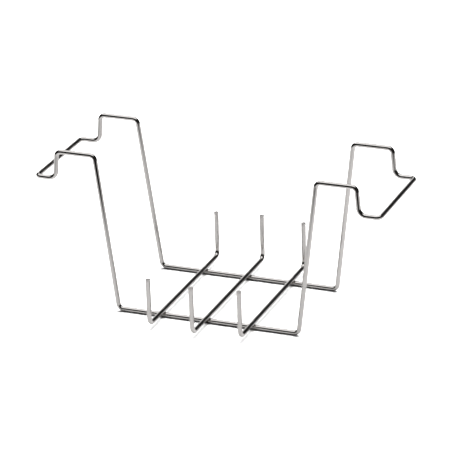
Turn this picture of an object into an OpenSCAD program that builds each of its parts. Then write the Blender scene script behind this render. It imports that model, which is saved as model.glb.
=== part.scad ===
// Hanging test tube rack bent from round polished wire and resistance welded.
// Two mirror-image half frames are butt welded into one closed loop, and three U-shaped
// cradle wires lie across its two bottom bars. The rack stands on the bottom bars, or hangs
// by its shoulders over the rims of a bath.
// Millimetres. Z = 0 is the table, X runs along the bottom bars and Y from front to rear.

/* [Wire] */
// Diameter of every wire
wire_d = 4; // [3:0.1:5]

/* [Frame] */
// Length of a bottom bar between the bends at its ends
bar_l = 160; // [150:1:180]
// Distance between the front and the rear bottom bar, centre to centre
bar_gap = 93; // [85:0.5:110]
// Distance between the front and the rear shoulders, centre to centre
rim_gap = 89; // [80:0.5:110]
// Height of the shoulders above the bottom bars, centre to centre
hang_h = 134; // [100:1:160]
// How far each upright leans out over its height
upright_lean = 17; // [5:1:30]
// Length of a shoulder between its bends
shoulder_l = 34; // [30:1:45]
// Drop from the shoulder to the grip
jog_drop = 24; // [20:1:35]
// How far the drop leans out
jog_lean = 2; // [0:0.5:5]
// Distance from the drop to the grip bar
grip_reach = 17.5; // [14:0.5:30]

/* [Cradle] */
// Distance between neighbouring cradle wires
cradle_pitch = 40; // [30:1:45]
// Length of the left and the right cradle wire, prong to prong, centre to centre
outer_cradle_l = 150; // [130:1:165]
// Length of the middle cradle wire, prong to prong, centre to centre
middle_cradle_l = 160; // [130:1:170]
// Height of the prong tips above the table
prong_top = 46; // [30:1:60]

/* [Bends] */
// Centre line radius of the bends at the uprights and the shoulders
corner_r = 4.5; // [3:0.5:6]
// Centre line radius of the bend at the foot of the drop
jog_r = 6.5; // [3.5:0.5:7]
// Centre line radius of the bends at the ends of the grip bar
grip_r = 4; // [3:0.5:6]
// Centre line radius of the bends under the prongs
prong_r = 5.5; // [3.5:0.5:8]

// How much thinner the wire is in a bend, where forming stretches it
bend_thinning = 0.02; // [0.02:0.01:0.1]

/* [Welds] */
// How far each cradle wire is pressed into the bars when it is welded
set_down = 0.4; // [0.3:0.05:0.6]
// Radius of the metal squeezed out round each crossing
nugget_r = 2.1; // [2:0.05:2.4]
// Width of the fused metal between the two half frames
butt_w = 1.2; // [0.8:0.1:2]
// Bevel round each cut prong tip
tip_bevel = 0.3; // [0.2:0.05:0.5]

/* [Hidden] */
$fn = 48;
wire_r = wire_d / 2;
bar_z = wire_r;
cradle_z = bar_z + wire_d - set_down;
shoulder_z = bar_z + hang_h;
grip_z = shoulder_z - jog_drop;
shoulder_x = bar_l / 2 + upright_lean;
jog_x = shoulder_x + shoulder_l;
grip_x = jog_x + jog_lean + grip_reach;
// how far the ends of a bend run on inside the straight wire
bend_overlap = 0.15;
// far enough for a cutting tool to pass right through a wire
past = 3 * wire_d;

// centre line of the front half of the right half frame, from the middle of the grip bar
// to the butt weld, and the bend radius at each of its points
grip_to_weld = [
    [grip_x, 0, grip_z],
    [grip_x, -rim_gap / 2, grip_z],
    [jog_x + jog_lean, -rim_gap / 2, grip_z],
    [jog_x, -rim_gap / 2, shoulder_z],
    [shoulder_x, -rim_gap / 2, shoulder_z],
    [bar_l / 2, -bar_gap / 2, bar_z],
    [butt_w / 2, -bar_gap / 2, bar_z]
];
frame_bends = [0, grip_r, jog_r, corner_r, corner_r, corner_r, 0];

function unit(v) = v / norm(v);
// direction of the straight run that leaves point i
function run_dir(line, i) = unit(line[i + 1] - line[i]);
// angle through which the wire turns at point i
function turn_at(line, i) = acos(run_dir(line, i - 1) * run_dir(line, i));
// length that the bend at point i takes off each run that meets there
function bend_take(line, bends, i) = bends[i] == 0 ? 0 : bends[i] * tan(turn_at(line, i) / 2);
function run_length(line, bends, i) =
    norm(line[i + 1] - line[i]) - bend_take(line, bends, i) - bend_take(line, bends, i + 1);
// direction square to run i - 1 towards which the wire turns at point i
function side_before(line, i) =
    unit(run_dir(line, i) - (run_dir(line, i) * run_dir(line, i - 1)) * run_dir(line, i - 1));
// the same direction once the bend at point i has carried it round
function side_after(line, i) =
    side_before(line, i) * cos(turn_at(line, i)) - run_dir(line, i - 1) * sin(turn_at(line, i));
// angle from one side direction to another about a run
function roll(from, to, about) = atan2(cross(from, to) * about, from * to);

// round bend that starts at the origin along +Z and turns towards +X. Its ends run on a
// little way inside the straight wire
module bend(r, turn) {
    run_on = bend_overlap / r * 180 / PI;
    translate([r, 0, 0])
        rotate([90, 0, 180])
            rotate([0, 0, -run_on])
                rotate_extrude(angle = turn + 2 * run_on)
                    translate([r, 0])
                        circle(d = wire_d - bend_thinning);
}

// wire along a centre line from the bend at its point i on, drawn as a wire former makes it:
// roll, bend, feed. It starts at the origin along +Z, and side is the direction of +X there
module form_wire(line, bends, side, i) {
    r = bends[i];
    turn = turn_at(line, i);
    feed = run_length(line, bends, i);
    rotate([0, 0, roll(side, side_before(line, i), run_dir(line, i - 1))]) {
        bend(r, turn);
        translate([r, 0, 0])
            rotate([0, turn, 0])
                translate([-r, 0, 0]) {
                    cylinder(h = feed, d = wire_d);
                    if (i + 2 < len(line))
                        translate([0, 0, feed])
                            form_wire(line, bends, side_after(line, i), i + 1);
                }
    }
}

// wire whose middle run crosses Y = 0 along Y. The line is the centre line of its front half,
// from the middle on, and the rear half is the mirror image
module front_and_rear(line, bends) {
    half = run_length(line, bends, 0);
    translate(line[0])
        rotate([90, 0, 0])
            cylinder(h = 2 * half, d = wire_d, center = true);
    for (rear = [0, 1])
        mirror([0, rear, 0])
            translate(line[0] - [0, half, 0])
                rotate([90, 0, 0])
                    form_wire(line, bends, [1, 0, 0], 1);
}

// both bottom bars as plain rods, to cut the seats that they press into the cradle wires
module bar_rods() {
    for (y = [-1, 1] * bar_gap / 2)
        translate([-past / 2, y, bar_z])
            rotate([0, 90, 0])
                cylinder(h = past, d = wire_d);
}

module half_frame() {
    color([0.80, 0.80, 0.79])
        front_and_rear(grip_to_weld, frame_bends);
}

module frame_wire_right() half_frame();
module frame_wire_left() mirror([1, 0, 0]) half_frame();

// a bevelled tip closes the top of a prong
module prong_tip() {
    cylinder(h = tip_bevel, d1 = wire_d, d2 = wire_d - 2 * tip_bevel);
}

module cradle_wire(length) {
    tip_z = prong_top - tip_bevel;
    color([0.72, 0.72, 0.71])
        difference() {
            union() {
                front_and_rear(
                    [[0, 0, cradle_z], [0, -length / 2, cradle_z], [0, -length / 2, tip_z]],
                    [0, prong_r, 0]
                );
                for (y = [-1, 1] * length / 2)
                    translate([0, y, tip_z])
                        prong_tip();
            }
            bar_rods();
        }
}

module cradle_wire_left() translate([-cradle_pitch, 0, 0]) cradle_wire(outer_cradle_l);
module cradle_wire_middle() cradle_wire(middle_cradle_l);
module cradle_wire_right() translate([cradle_pitch, 0, 0]) cradle_wire(outer_cradle_l);

// disc of fused metal between the half frames, dressed flush with the wire
module butt_weld(side) {
    color([0.62, 0.60, 0.57])
        translate([-butt_w / 2, side * bar_gap / 2, bar_z])
            rotate([0, 90, 0])
                cylinder(h = butt_w, d = wire_d);
}

module butt_weld_front() butt_weld(-1);
module butt_weld_rear() butt_weld(1);

// collar of metal squeezed out between a bar and the cradle wire that crosses it
module cross_weld(column, side) {
    color([0.55, 0.53, 0.50])
        translate([column * cradle_pitch, side * bar_gap / 2, 0])
            difference() {
                translate([0, 0, (bar_z + cradle_z) / 2])
                    sphere(r = nugget_r);
                translate([-past / 2, 0, bar_z])
                    rotate([0, 90, 0])
                        cylinder(h = past, d = wire_d);
                translate([0, past / 2, cradle_z])
                    rotate([90, 0, 0])
                        cylinder(h = past, d = wire_d);
            }
}

module cross_weld_front_left() cross_weld(-1, -1);
module cross_weld_front_middle() cross_weld(0, -1);
module cross_weld_front_right() cross_weld(1, -1);
module cross_weld_rear_left() cross_weld(-1, 1);
module cross_weld_rear_middle() cross_weld(0, 1);
module cross_weld_rear_right() cross_weld(1, 1);

frame_wire_left();
frame_wire_right();
cradle_wire_left();
cradle_wire_middle();
cradle_wire_right();
butt_weld_front();
butt_weld_rear();
cross_weld_front_left();
cross_weld_front_middle();
cross_weld_front_right();
cross_weld_rear_left();
cross_weld_rear_middle();
cross_weld_rear_right();
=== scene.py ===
"""Looks of the hanging test tube rack: five polished round wires and their resistance welds.

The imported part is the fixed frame. Every node is replaced by a finer piece in the same place:
drawn wires with slightly oval bends and electrode marks, collars of squeezed metal round the
crossings, and dressed butt welds. Metres throughout.
"""

import math

import bmesh
import bpy
from mathutils import Matrix, Vector, noise


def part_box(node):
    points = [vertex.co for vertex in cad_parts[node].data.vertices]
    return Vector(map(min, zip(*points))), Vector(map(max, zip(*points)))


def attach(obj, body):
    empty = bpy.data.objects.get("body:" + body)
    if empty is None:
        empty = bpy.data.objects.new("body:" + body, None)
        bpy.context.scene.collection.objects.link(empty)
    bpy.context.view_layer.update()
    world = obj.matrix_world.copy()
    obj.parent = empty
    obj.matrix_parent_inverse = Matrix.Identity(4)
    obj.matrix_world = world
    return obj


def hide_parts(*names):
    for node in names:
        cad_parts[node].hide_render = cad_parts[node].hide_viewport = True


MM = 0.001

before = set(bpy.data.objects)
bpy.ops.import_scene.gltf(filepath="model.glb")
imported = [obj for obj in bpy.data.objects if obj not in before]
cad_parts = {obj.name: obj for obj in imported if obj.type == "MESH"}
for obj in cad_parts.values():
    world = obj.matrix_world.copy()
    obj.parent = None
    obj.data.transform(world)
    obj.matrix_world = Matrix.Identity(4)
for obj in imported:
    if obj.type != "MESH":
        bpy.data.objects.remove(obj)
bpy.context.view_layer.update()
scene = bpy.context.scene

# ---------------------------------------------------------------- sizes of the rack
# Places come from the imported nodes, and what their boxes don't say from the design sizes.
SHOULDER_L = 34 * MM
UPRIGHT_LEAN = 17 * MM
BAR_HALF = 80 * MM
JOG_DROP = 24 * MM
JOG_LEAN = 2 * MM
RIM_HALF = 44.5 * MM
CRADLE_Z = 5.6 * MM  # centre line of the cradle wires, 0.4 mm down into the bars
CORNER_R, JOG_R, GRIP_R, PRONG_R = 4.5 * MM, 6.5 * MM, 4 * MM, 5.5 * MM

weld_low, weld_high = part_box("butt_weld_front")
WIRE_R = (weld_high.z - weld_low.z) / 2
BUTT_HALF = (weld_high.x - weld_low.x) / 2
BAR_Y = -(weld_low.y + weld_high.y) / 2
BAR_Z = (weld_low.z + weld_high.z) / 2
frame_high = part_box("frame_wire_right")[1]
SHOULDER_Z = frame_high.z - WIRE_R
GRIP_X = frame_high.x - WIRE_R
GRIP_Z = SHOULDER_Z - JOG_DROP
SHOULDER_X = BAR_HALF + UPRIGHT_LEAN
JOG_X = SHOULDER_X + SHOULDER_L

cradle_boxes = {c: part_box(f"cradle_wire_{c}") for c in ("left", "middle", "right")}
WELD_Z = (BAR_Z + CRADLE_Z) / 2
crossings = {}
for column, (low, high) in cradle_boxes.items():
    for side, y in (("front", -BAR_Y), ("rear", BAR_Y)):
        crossings[f"{side}_{column}"] = Vector(((low.x + high.x) / 2, y, WELD_Z))

# ---------------------------------------------------------------- wire meshes
SIDES = 48
RING_STEP = 2.5 * MM
BEND_RINGS = 20
OVAL, OVAL_MEAN = 0.035, 0.35  # how much flatter a bend is in its plane, and where it is neutral
WAVE, WAVE_STEP = 0.02 * MM, 18 * MM  # how far a drawn wire strays from straight, and how often
WAVE_LANE, WAVE_ROW = 7.3, 1.5  # keep the waves of two wires apart
SEED = 5  # of the waves, which differ from run to run without one
MARK_DEPTH = 0.14 * MM  # dents that the welding electrodes leave
MARK_HALF, MARK_EDGE = 2.6 * MM, 4  # their reach, and how sharply they end
BEVEL, BEVEL_RINGS = 0.22 * MM, 5  # rounded edge of a sheared end
HEAT_REACH = 4.2 * MM  # how far the tint of a weld spreads


def wire_path(corners, bends):
    """Rings along a wire: (place, direction, side towards the bend, share of a bend, size)."""
    rings = []
    start = corners[0]
    for i in range(1, len(corners)):
        here = corners[i]
        before = (here - corners[i - 1]).normalized()
        if bends[i] > 0:
            after = (corners[i + 1] - here).normalized()
            turn = before.angle(after)
            take = bends[i] * math.tan(turn / 2)
            side = (after - before * after.dot(before)).normalized()
        else:
            turn, take, side = 0, 0, Vector()
        end = here - before * take
        count = max(2, round((end - start).length / RING_STEP))
        # a straight run after a bend starts one ring on, because the bend has made its first
        for k in range(min(i - 1, 1), count):
            rings.append((start.lerp(end, k / count), before, Vector(), 0.0, 1.0))
        if turn == 0:
            rings.append((end, before, Vector(), 0.0, 1.0))
            break
        centre = end + side * bends[i]
        for k in range(BEND_RINGS + 1):
            a = turn * k / BEND_RINGS
            out = -side * math.cos(a) + before * math.sin(a)
            along = before * math.cos(a) + side * math.sin(a)
            share = math.sin(math.pi * k / BEND_RINGS) ** 2
            rings.append((centre + out * bends[i], along, -out, share, 1.0))
        start = centre + out * bends[i]
    return rings


def bevel_ends(rings, stations):
    """Sheared ends: a rounded edge, then a face that is a little smaller than the wire."""
    for end in (0, -1):
        place, along, to_bend, share, _ = rings[end]
        out = along if end else -along
        body = place - out * BEVEL
        edge = []
        for k in range(BEVEL_RINGS + 1):
            a = math.pi / 2 * k / BEVEL_RINGS
            size = 1 - BEVEL / WIRE_R * (1 - math.cos(a))
            edge.append((body + out * BEVEL * math.sin(a), along, to_bend, share, size))
        if end:
            rings = rings[:-1] + edge
            stations = stations[:-1] + [stations[-1]] * len(edge)
        else:
            rings = edge[::-1] + rings[1:]
            stations = [stations[0]] * len(edge) + stations[1:]
    return rings, stations


def press(point, mark, face, depth):
    """Flattens a wire where an electrode sat: nothing stands beyond face, seen from mark."""
    away = point - mark
    height = away.dot(face)
    flat = away - face * height
    reach = max(0.0, 1 - (flat.length / MARK_HALF) ** MARK_EDGE)
    limit = WIRE_R - depth * reach
    if height > limit and reach > 0:
        point = point - face * (height - limit)
    return point


def heat_at(point):
    """How strongly a place was tinted by the nearest cross weld, from 0 to 1."""
    near = min((point - spot).length for spot in crossings.values()) / HEAT_REACH
    return math.exp(-near * near)


def tube_faces(rings, around):
    """Quads between neighbouring rings, then a face over each end."""
    faces = []
    for i in range(rings - 1):
        for j in range(around):
            k = (j + 1) % around
            faces.append(
                (i * around + j, i * around + k, (i + 1) * around + k, (i + 1) * around + j)
            )
    last = (rings - 1) * around
    faces.append(tuple(range(around))[::-1])
    faces.append(tuple(range(last, last + around)))
    return faces


def new_piece(name, points, faces):
    """A smooth shaded object in the scene."""
    mesh = bpy.data.meshes.new(name)
    mesh.from_pydata(points, [], faces)
    mesh.update()
    mesh.shade_smooth()
    piece = bpy.data.objects.new(name, mesh)
    scene.collection.objects.link(piece)
    return piece


def sweep_wire(name, corners, bends, seed, marks, cut_ends=False):
    """A round wire along its centre line, with what its material needs at each point."""
    rings = wire_path([Vector(c) for c in corners], bends)
    stations = [0.0]
    for a, b in zip(rings, rings[1:]):
        stations.append(stations[-1] + (b[0] - a[0]).length)
    if cut_ends:
        rings, stations = bevel_ends(rings, stations)
    up = rings[0][1].orthogonal().normalized()
    verts, drawn = [], []
    for (place, along, to_bend, share, size), s in zip(rings, stations):
        up = (up - along * up.dot(along)).normalized()
        across = along.cross(up)
        lane = Vector((s / WAVE_STEP, seed * WAVE_LANE, WAVE_ROW))
        wander = noise.noise_vector(lane) * WAVE
        place = place + (wander - along * wander.dot(along))
        for j in range(SIDES):
            angle = 2 * math.pi * j / SIDES
            ray = up * math.cos(angle) + across * math.sin(angle)
            inward = ray.dot(to_bend)
            r = WIRE_R * size * (1 - OVAL * share * (inward * inward - OVAL_MEAN))
            point = place + ray * r
            for mark, face, depth in marks:
                point = press(point, mark, face, depth)
            verts.append(point)
            drawn += (s, math.cos(angle), math.sin(angle))
    piece = new_piece(name, verts, tube_faces(len(rings), SIDES))
    mesh = piece.data
    for cap in (-2, -1):
        mesh.polygons[cap].use_smooth = False
    edge = BEVEL_RINGS * SIDES if cut_ends else 0
    cut = [1.0] * edge + [0.0] * (len(verts) - 2 * edge) + [1.0] * edge
    mesh.attributes.new("cut", "FLOAT", "POINT").data.foreach_set("value", cut)
    mesh.attributes.new("drawn", "FLOAT_VECTOR", "POINT").data.foreach_set("vector", drawn)
    heat = [heat_at(v) for v in verts]
    mesh.attributes.new("heat", "FLOAT", "POINT").data.foreach_set("value", heat)
    return piece


def half_frame(name, hand, seed):
    """Half of the loop: from one butt weld over both uprights and the grip to the other."""
    front = [
        (hand * BUTT_HALF, -BAR_Y, BAR_Z),
        (hand * BAR_HALF, -BAR_Y, BAR_Z),
        (hand * SHOULDER_X, -RIM_HALF, SHOULDER_Z),
        (hand * JOG_X, -RIM_HALF, SHOULDER_Z),
        (hand * (JOG_X + JOG_LEAN), -RIM_HALF, GRIP_Z),
        (hand * GRIP_X, -RIM_HALF, GRIP_Z),
    ]
    rear = [(x, -y, z) for x, y, z in reversed(front)]
    bends = [0, CORNER_R, CORNER_R, CORNER_R, JOG_R, GRIP_R]
    down = Vector((0, 0, -1))
    marks = [
        (Vector((p.x, p.y, BAR_Z)), down, MARK_DEPTH / 2)
        for p in crossings.values()
        if p.x * hand > -BUTT_HALF
    ]
    return sweep_wire(name, front + rear, bends + bends[::-1], seed, marks)


def cradle(name, column, seed):
    """A wire across both bottom bars, with a prong at each end."""
    low, high = cradle_boxes[column]
    x = (low.x + high.x) / 2
    y = high.y - WIRE_R
    line = [(x, -y, high.z), (x, -y, CRADLE_Z), (x, y, CRADLE_Z), (x, y, high.z)]
    up = Vector((0, 0, 1))
    marks = [(Vector((x, side * BAR_Y, CRADLE_Z)), up, MARK_DEPTH) for side in (-1, 1)]
    return sweep_wire(name, line, [0, PRONG_R, PRONG_R, 0], seed, marks, cut_ends=True)


# ---------------------------------------------------------------- weld meshes
FILLET = 1.25 * MM  # reach of the squeezed metal in the notch between two wires
COLLAR_R, COLLAR_LUMP = 2.35 * MM, 0.07
FLASH, FLASH_LUMP, FLASH_GRAIN = 0.045 * MM, 0.05 * MM, 0.02 * MM  # how far it stands proud
LUMP_SCALE, GRAIN_SCALE = 2.3, 9
LUMP_SHIFT, GRAIN_SHIFT = 3.1, 5.7  # keep the lumps of two collars apart
COLLAR_LEVEL, HALVINGS = 5, 30

BEAD_AROUND, BEAD_ALONG = 64, 14
BEAD_HALF = BUTT_HALF + 0.25 * MM
BEAD_PROUD, BEAD_LUMP = 0.10 * MM, 0.04 * MM
BEAD_SINK = 0.35 * MM  # how deep its two ends lie in the wire
BEAD_LUMP_SCALE, BEAD_SHIFT = 2.1, 4.4


def unit_ball(level):
    """Points and faces of an evenly divided unit ball."""
    ball = bmesh.new()
    bmesh.ops.create_icosphere(ball, subdivisions=level, radius=1)
    points = [v.co.normalized() for v in ball.verts]
    faces = [tuple(v.index for v in f.verts) for f in ball.faces]
    ball.free()
    return points, faces


def collar(name, centre, seed):
    """Metal squeezed out between a bar and the cradle wire that crosses it."""
    gap = (CRADLE_Z - BAR_Z) / 2

    def depth(p):
        """Distance from the two wires with a fillet between them, below 0 inside."""
        bar = math.hypot(p.y, p.z + gap) - WIRE_R
        top = math.hypot(p.x, p.z - gap) - WIRE_R
        h = max(FILLET - abs(bar - top), 0) / FILLET
        return min(bar, top) - h * h * FILLET / 4

    rays, faces = unit_ball(COLLAR_LEVEL)
    points = []
    for ray in rays:
        lump = noise.noise(ray * LUMP_SCALE + Vector((seed * LUMP_SHIFT, 0, 0)))
        grain = noise.noise(ray * GRAIN_SCALE + Vector((0, seed * GRAIN_SHIFT, 0)))
        near, far = 0.0, COLLAR_R * (1 + COLLAR_LUMP * lump)
        if depth(ray * far) > 0:
            for _ in range(HALVINGS):
                mid = (near + far) / 2
                if depth(ray * mid) > 0:
                    far = mid
                else:
                    near = mid
            r = near + FLASH + FLASH_LUMP * lump + FLASH_GRAIN * grain
        else:
            r = far
        points.append(centre + ray * r)
    return new_piece(name, points, faces)


def butt_bead(name, side, seed):
    """The dressed ring of metal where the two half frames meet."""
    points = []
    for i in range(BEAD_ALONG + 1):
        t = 2 * i / BEAD_ALONG - 1
        for j in range(BEAD_AROUND):
            a = 2 * math.pi * j / BEAD_AROUND
            ray = Vector((0, math.cos(a), math.sin(a)))
            lump = noise.noise(ray * BEAD_LUMP_SCALE + Vector((seed * BEAD_SHIFT, 0, 0)))
            r = WIRE_R + (BEAD_PROUD + BEAD_LUMP * lump) * (1 - t * t)
            if i in (0, BEAD_ALONG):
                r -= BEAD_SINK
            point = Vector((t * BEAD_HALF, side * BAR_Y, BAR_Z)) + ray * r
            point.z = max(point.z, 0.0)
            points.append(point)
    return new_piece(name, points, tube_faces(BEAD_ALONG + 1, BEAD_AROUND))


# ---------------------------------------------------------------- materials
class Graph:
    """Shorthands for building one node material."""

    def __init__(self, name):
        self.material = bpy.data.materials.new(name)
        self.material.use_nodes = True
        self.tree = self.material.node_tree
        self.tree.nodes.clear()

    def fill(self, socket, value):
        if isinstance(value, bpy.types.NodeSocket):
            self.tree.links.new(value, socket)
        else:
            socket.default_value = value

    def add(self, kind, inputs=(), **settings):
        node = self.tree.nodes.new("ShaderNode" + kind)
        for key, value in settings.items():
            setattr(node, key, value)
        for key, value in dict(inputs).items():
            self.fill(node.inputs[key], value)
        return node

    def place(self):
        return self.add("TexCoord").outputs["Object"]

    def attribute(self, name, output):
        return self.add("Attribute", attribute_name=name).outputs[output]

    def noise(self, vector, scale, detail, rough):
        inputs = {"Vector": vector, "Scale": scale, "Detail": detail, "Roughness": rough}
        return self.add("TexNoise", inputs).outputs["Fac"]

    def stretch(self, vector, scale):
        return self.add("VectorMath", {0: vector, 1: scale}, operation="MULTIPLY").outputs[0]

    def dot(self, a, b):
        node = self.add("VectorMath", {0: a, 1: b}, operation="DOT_PRODUCT")
        return node.outputs["Value"]

    def math(self, kind, a, b):
        return self.add("Math", {0: a, 1: b}, operation=kind).outputs[0]

    def to_range(self, value, old, new=(0.0, 1.0)):
        inputs = {0: value, 1: old[0], 2: old[1], 3: new[0], 4: new[1]}
        return self.add("MapRange", inputs).outputs[0]

    def mix(self, share, a, b):
        node = self.add("Mix", data_type="RGBA")
        for socket, value in zip((0, 6, 7), (share, a, b)):
            self.fill(node.inputs[socket], value)
        return node.outputs[2]

    def ramp(self, value, stops):
        """Piecewise curve through (value, result) stops."""
        low, high = stops[0][0], stops[-1][0]
        node = self.add("ValToRGB", {0: self.to_range(value, old=(low, high))})
        elements = node.color_ramp.elements
        while len(elements) < len(stops):
            elements.new(0.5)  # anywhere: it gets its place below
        for element, (at, result) in zip(elements, stops):
            element.position = (at - low) / (high - low)
            element.color = (result, result, result, 1)
        return node.outputs[0]

    def bump(self, height, strength, distance, **below):
        inputs = {"Strength": strength, "Distance": distance, "Height": height, **below}
        return self.add("Bump", inputs).outputs[0]

    def metal(self, tone, rough, bump):
        inputs = {"Base Color": tone, "Metallic": 1.0, "Roughness": rough, "Normal": bump}
        return self.finish(self.add("BsdfPrincipled", inputs))

    def finish(self, shader):
        out = self.add("OutputMaterial")
        self.tree.links.new(shader.outputs[0], out.inputs["Surface"])
        return self.material


STEEL_LIGHT, STEEL_DARK = (0.645, 0.622, 0.608, 1), (0.595, 0.574, 0.56, 1)
STRAW_TINT = (0.22, 0.19, 0.15, 1)
LINE_STRETCH, FINE_STRETCH = (60, 9, 9), (260, 34, 34)  # along the wire, then round it
CUT_ROUGH = 0.4  # what a sheared face adds to the roughness of the wire
FUSED, BURNT = (0.24, 0.22, 0.20, 1), (0.10, 0.085, 0.07, 1)


def polished_wire(name):
    """Bright drawn steel: lines along the wire, faint smears, straw tint beside the welds."""
    g = Graph(name)
    drawn, place = g.attribute("drawn", "Vector"), g.place()
    heat, cut = g.attribute("heat", "Fac"), g.attribute("cut", "Fac")
    lines = g.noise(g.stretch(drawn, LINE_STRETCH), scale=1.0, detail=3.0, rough=0.6)
    fine = g.noise(g.stretch(drawn, FINE_STRETCH), scale=1.0, detail=2.0, rough=0.6)
    smear = g.noise(place, scale=55.0, detail=3.0, rough=0.6)
    cloud = g.noise(place, scale=16.0, detail=2.0, rough=0.5)
    tone = g.mix(g.to_range(cloud, old=(0.35, 0.65)), STEEL_LIGHT, STEEL_DARK)
    tone = g.mix(g.to_range(heat, old=(0.25, 1.0), new=(0.0, 0.75)), tone, STRAW_TINT)
    rough = g.to_range(smear, old=(0.35, 0.75), new=(0.05, 0.13))
    rough = g.math("ADD", rough, g.to_range(cut, old=(0.0, 1.0), new=(0.0, CUT_ROUGH)))
    bump = g.bump(lines, strength=0.12, distance=0.06 * MM)
    bump = g.bump(fine, strength=0.08, distance=0.02 * MM, Normal=bump)
    return g.metal(tone, rough, bump)


def weld_metal(name):
    """Fused steel: dull, lumpy, with a burnt edge."""
    g = Graph(name)
    place = g.place()
    lumps = g.noise(place, scale=900.0, detail=4.0, rough=0.65)
    burn = g.noise(place, scale=420.0, detail=2.0, rough=0.5)
    tone = g.mix(g.to_range(burn, old=(0.4, 0.65)), FUSED, BURNT)
    rough = g.to_range(lumps, old=(0.3, 0.7), new=(0.22, 0.45))
    return g.metal(tone, rough, g.bump(lumps, strength=0.35, distance=0.1 * MM))


# ---------------------------------------------------------------- the rack
steel = polished_wire("polished_wire")
fused = weld_metal("weld_metal")
noise.seed_set(SEED)

wires = [
    (half_frame("half_frame_left", -1, seed=1), "frame_wire_left"),
    (half_frame("half_frame_right", 1, seed=2), "frame_wire_right"),
]
for seed, column in enumerate(cradle_boxes, start=3):
    wires.append((cradle(f"cradle_{column}", column, seed), f"cradle_wire_{column}"))
welds = []
for seed, (label, spot) in enumerate(sorted(crossings.items()), start=11):
    welds.append((collar(f"collar_{label}", spot, seed), f"cross_weld_{label}"))
for label, side, seed in (("front", -1, 20), ("rear", 1, 22)):
    welds.append((butt_bead(f"butt_bead_{label}", side, seed), f"butt_weld_{label}"))

for pieces, slot, material in ((wires, "wire", steel), (welds, "weld", fused)):
    for piece, node in pieces:
        piece.data.materials.append(material)
        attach(piece, "root")
        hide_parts(node)

# ---------------------------------------------------------------- studio
FLOOR_HALF, FLOOR_SINK = 12, 0.03 * MM
FLOOR_PALE, FLOOR_SPECK = (0.80, 0.80, 0.80, 1), (0.792, 0.792, 0.788, 1)
# the mirrored floor is a darker copy of the pale floor: painted shade over its whole colour
SHEET_HALF, SHEET_PAINTED_DIMMING, SHEET_ROUGH, SHEET_IOR = 3, 0.34, 0.12, 1.5
AHEAD = (0.2, -0.98, 0)  # the way the painted falloff of light on the reflected floor runs, towards the camera
# painted falloff of light: bright round the rack, painted shade further out towards the camera
LIGHT_FALLOFF_RAMP = [
    (0.16, 1.0),
    (0.22, 0.85),
    (0.27, 0.70),
    (0.31, 0.54),
    (0.34, 0.38),
    (0.365, 0.18),
    (0.385, 0.05),
    (0.42, 0.0),
]
TENT_R, TENT_LEVEL, TENT_POWER = 5, 4, 1.35
TENT_RISE = [(0.53, 0.014), (0.64, 1.0)]  # from the dark round the horizon to the white top
TENT_DIPS = (("X", 0.40), ("Y", -0.42), ("Y", 0.2))  # how the dark rises right, front and back
BACK_LEFT = Vector((-0.45, 0.85, 0.25)).normalized()
BACK_LEFT_GLOW = [(0.94, 0.0), (0.988, 0.65)]  # by how closely a ray points there
WHITE = (1, 1, 1, 1)
WORLD_FILL = 0.07
KEY_ENERGY, KEY_SPREAD = 10.8, math.radians(64)
KEY_FROM = Vector((0.0, 0.60, 1.0))


def plane(name, half, height, material):
    """A square of the studio, level and centred under the rack."""
    corners = [(-half, -half, 0), (half, -half, 0), (half, half, 0), (-half, half, 0)]
    mesh = bpy.data.meshes.new(name)
    mesh.from_pydata(corners, [], [(0, 1, 2, 3)])
    mesh.update()
    mesh.materials.append(material)
    thing = bpy.data.objects.new(name, mesh)
    thing.location.z = height
    scene.collection.objects.link(thing)
    return thing


def only_seen_by(thing, *kinds):
    """Hides a thing from every kind of ray but these."""
    for kind in ("camera", "diffuse", "glossy", "transmission", "volume_scatter", "shadow"):
        setattr(thing, "visible_" + kind, kind in kinds)


# pale floor that the camera sees
g = Graph("floor_paint")
grain = g.noise(g.place(), scale=30.0, detail=2.0, rough=0.5)
tone = g.mix(grain, FLOOR_PALE, FLOOR_SPECK)
paint = g.finish(g.add("BsdfDiffuse", {"Color": tone}))
only_seen_by(plane("floor", FLOOR_HALF, -FLOOR_SINK, paint), "camera", "diffuse", "shadow")

# the same floor as the wires mirror it, with painted light: a painted pool of light round the
# rack, fading out to painted shade towards the camera
g = Graph("sheet_painted_light")
# painted light: the ramp paints the pool of light and its falloff into the sheet's colour
tone = g.math("MULTIPLY", g.ramp(g.dot(g.place(), AHEAD), LIGHT_FALLOFF_RAMP), SHEET_PAINTED_DIMMING)
paint = g.finish(
    g.add("BsdfPrincipled", {"Base Color": tone, "Roughness": SHEET_ROUGH, "IOR": SHEET_IOR})
)
only_seen_by(plane("floor_sheet", SHEET_HALF, 0, paint), "glossy")

# the tent that the wires mirror: white above, dark round the horizon, open light at back left
g = Graph("tent_glow")
toward = g.add("VectorMath", {0: g.place()}, operation="NORMALIZE").outputs[0]
axes = g.add("SeparateXYZ", {0: toward}).outputs
height = axes["Z"]
for axis, dip in TENT_DIPS:
    lowered = g.math("MAXIMUM", g.math("MULTIPLY", axes[axis], dip), 0.0)
    height = g.math("SUBTRACT", height, lowered)
above = g.ramp(height, TENT_RISE)
back_left = g.ramp(g.dot(toward, BACK_LEFT), BACK_LEFT_GLOW)
power = g.math("MULTIPLY", g.math("MAXIMUM", above, back_left), TENT_POWER)
glow = g.finish(g.add("Emission", {"Color": WHITE, "Strength": power}))
rays, faces = unit_ball(TENT_LEVEL)
tent = new_piece("tent", [ray * TENT_R for ray in rays], faces)
tent.data.materials.append(glow)
only_seen_by(tent, "glossy")

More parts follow.
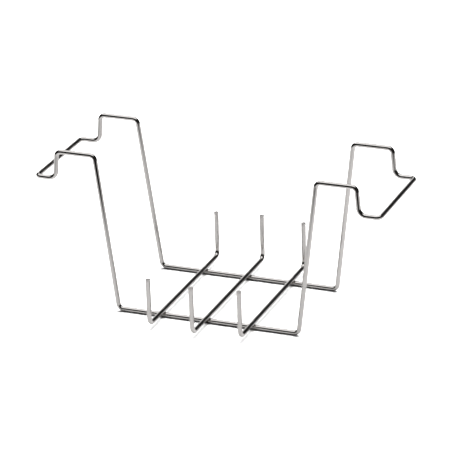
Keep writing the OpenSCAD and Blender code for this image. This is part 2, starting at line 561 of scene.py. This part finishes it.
# white surroundings for the camera, a weak fill for the floor
world = bpy.data.worlds.new("studio")
scene.world = world
world.use_nodes = True
tree = world.node_tree
fill = tree.nodes["Background"]
fill.inputs["Color"].default_value = WHITE
fill.inputs["Strength"].default_value = WORLD_FILL
white = tree.nodes.new("ShaderNodeBackground")
white.inputs["Color"].default_value = WHITE
path = tree.nodes.new("ShaderNodeLightPath")
choose = tree.nodes.new("ShaderNodeMixShader")
tree.links.new(path.outputs["Is Camera Ray"], choose.inputs[0])
tree.links.new(fill.outputs[0], choose.inputs[1])
tree.links.new(white.outputs[0], choose.inputs[2])
tree.links.new(choose.outputs[0], tree.nodes["World Output"].inputs["Surface"])
world.cycles_visibility.glossy = False

# wide soft key from above and behind, for the shadows on the floor
key_data = bpy.data.lights.new("key", "SUN")
key_data.energy = KEY_ENERGY
key_data.angle = KEY_SPREAD
key = bpy.data.objects.new("key", key_data)
key.rotation_euler = KEY_FROM.to_track_quat("Z", "Y").to_euler()
scene.collection.objects.link(key)
key.visible_glossy = False

# ---------------------------------------------------------------- camera
AZIMUTH, ELEVATION, ROLL = math.radians(22.47), math.radians(22.79), math.radians(-1.85)
DISTANCE = 2.4108
AIM = Vector((-0.00123, 0, 0.06885))
LENS, SENSOR = 232, 36  # millimetres
CLIP = (0.1, 50)

back = Vector(
    (
        math.sin(AZIMUTH) * math.cos(ELEVATION),
        -math.cos(AZIMUTH) * math.cos(ELEVATION),
        math.sin(ELEVATION),
    )
)
level = (-back).cross(Vector((0, 0, 1))).normalized()
upright = level.cross(-back)
right = level * math.cos(ROLL) + upright * math.sin(ROLL)
up = upright * math.cos(ROLL) - level * math.sin(ROLL)
turned = Matrix((right, up, back)).transposed().to_4x4()

camera_data = bpy.data.cameras.new("camera")
camera_data.lens = LENS
camera_data.sensor_width = SENSOR
camera_data.clip_start, camera_data.clip_end = CLIP
camera = bpy.data.objects.new("camera", camera_data)
camera.matrix_world = Matrix.Translation(AIM + back * DISTANCE) @ turned
scene.collection.objects.link(camera)
scene.camera = camera

scene.view_settings.view_transform = "Standard"
scene.view_settings.look = "None"
